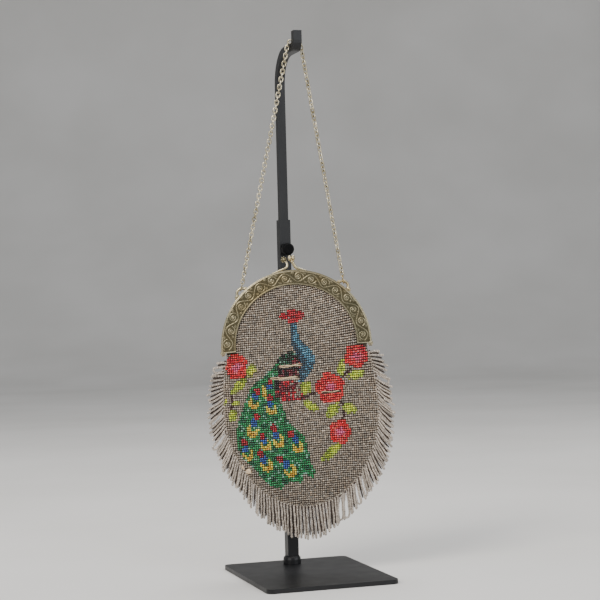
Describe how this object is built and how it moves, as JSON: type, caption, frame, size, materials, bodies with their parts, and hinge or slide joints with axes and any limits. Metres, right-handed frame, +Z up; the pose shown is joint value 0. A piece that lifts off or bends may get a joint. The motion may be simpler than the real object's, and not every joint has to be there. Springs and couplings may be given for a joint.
{
  "type": "beaded flapper purse on a display stand",
  "caption": "Oval beaded purse with an arched chased metal frame, looped bead fringe and a cable chain, hung from the hook of a plain black stand.",
  "frame": {"origin": "underside of the stand's base plate, straight below the middle of the pole", "axes": "+Z up along the pole, -Y out of the purse's front, +X to the right seen from the front"},
  "size_m": [0.1793, 0.1767, 0.5005],
  "materials": {
    "stand_black": "satin black paint",
    "knob_black": "matt black plastic",
    "frame_metal": "tarnished silver-coloured metal",
    "chain_metal": "worn silver-coloured metal",
    "beadwork": "knitted glass seed beads",
    "bead_fringe": "strung glass seed beads"
  },
  "bodies": {
    "root": {"stand_base": "stand_black", "stand_collar": "stand_black", "stand_tube": "stand_black", "stand_rod": "stand_black", "stand_knob": "knob_black", "front_frame": "frame_metal", "back_frame": "frame_metal", "hinge_pin_left": "frame_metal", "hinge_pin_right": "frame_metal", "bag_body": "beadwork", "fringe": "bead_fringe", "link_left": "chain_metal", "link_right": "chain_metal", "chain": "chain_metal"}
  },
  "joints": []
}
